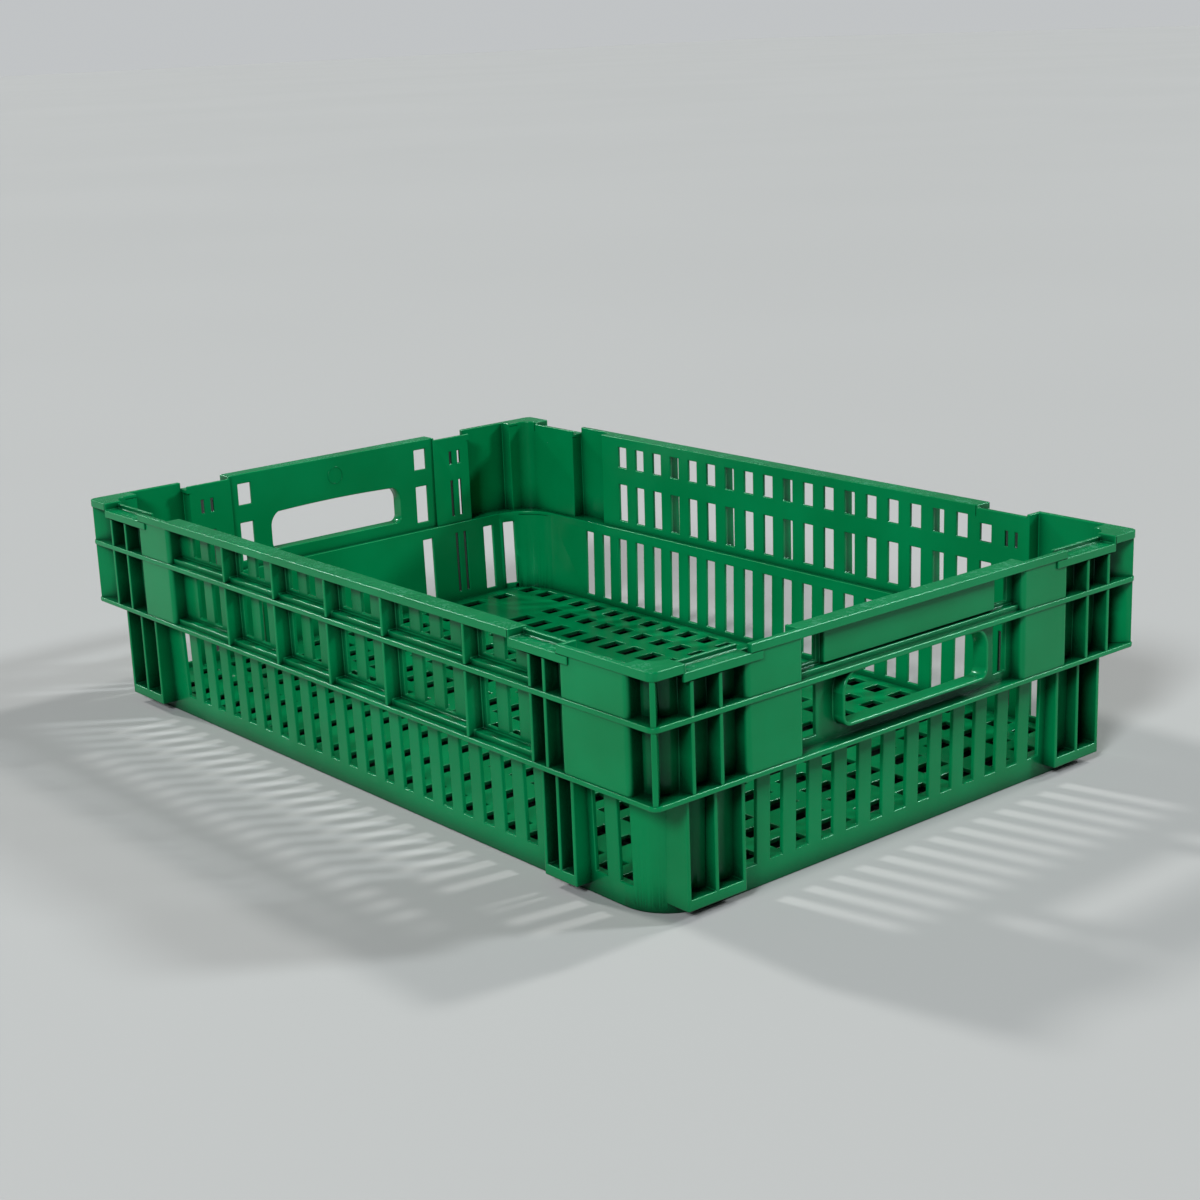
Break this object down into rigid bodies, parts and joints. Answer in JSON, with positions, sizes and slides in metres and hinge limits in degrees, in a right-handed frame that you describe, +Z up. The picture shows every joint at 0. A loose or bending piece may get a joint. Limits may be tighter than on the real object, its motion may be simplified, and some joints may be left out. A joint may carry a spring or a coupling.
{
  "type": "plastic stack-and-nest crate",
  "caption": "Rigid perforated 600 by 400 mm plastic storage crate with a slotted lower tier, flanged upper band, stacking feet and seats, and two hand holes.",
  "frame": {"origin": "centre of the crate's base, on the surface it stands on", "axes": "+X along the 600 mm side, +Y along the 400 mm side, +Z up out of the open top"},
  "size_m": [0.6, 0.4, 0.145],
  "materials": {
    "crate_plastic": "semi-gloss moulded polyethylene, green"
  },
  "bodies": {
    "root": {"column_back_east": "crate_plastic", "column_back_west": "crate_plastic", "column_front_east": "crate_plastic", "column_front_west": "crate_plastic", "column_left_far": "crate_plastic", "column_left_near": "crate_plastic", "column_right_far": "crate_plastic", "column_right_near": "crate_plastic", "floor_grid": "crate_plastic", "foot_back_east": "crate_plastic", "foot_back_west": "crate_plastic", "foot_front_east": "crate_plastic", "foot_front_west": "crate_plastic", "foot_left_far": "crate_plastic", "foot_left_near": "crate_plastic", "foot_right_far": "crate_plastic", "foot_right_near": "crate_plastic", "handle_panel_left": "crate_plastic", "handle_panel_right": "crate_plastic", "low_flange_back": "crate_plastic", "low_flange_front": "crate_plastic", "low_flange_left": "crate_plastic", "low_flange_right": "crate_plastic", "lower_corner_east_back": "crate_plastic", "lower_corner_east_front": "crate_plastic", "lower_corner_west_back": "crate_plastic", "lower_corner_west_front": "crate_plastic", "lower_wall_back": "crate_plastic", "lower_wall_front": "crate_plastic", "lower_wall_left": "crate_plastic", "lower_wall_right": "crate_plastic", "mid_flange_back": "crate_plastic", "mid_flange_front": "crate_plastic", "mid_flange_left": "crate_plastic", "mid_flange_right": "crate_plastic", "pocket_back_east": "crate_plastic", "pocket_back_west": "crate_plastic", "pocket_front_east": "crate_plastic", "pocket_front_west": "crate_plastic", "pocket_left_far": "crate_plastic", "pocket_left_near": "crate_plastic", "pocket_right_far": "crate_plastic", "pocket_right_near": "crate_plastic", "rim_back": "crate_plastic", "rim_corner_east_back": "crate_plastic", "rim_corner_east_front": "crate_plastic", "rim_corner_west_back": "crate_plastic", "rim_corner_west_front": "crate_plastic", "rim_front": "crate_plastic", "rim_left": "crate_plastic", "rim_right": "crate_plastic", "upper_corner_east_back": "crate_plastic", "upper_corner_east_front": "crate_plastic", "upper_corner_west_back": "crate_plastic", "upper_corner_west_front": "crate_plastic", "upper_wall_back": "crate_plastic", "upper_wall_front": "crate_plastic"}
  },
  "joints": []
}
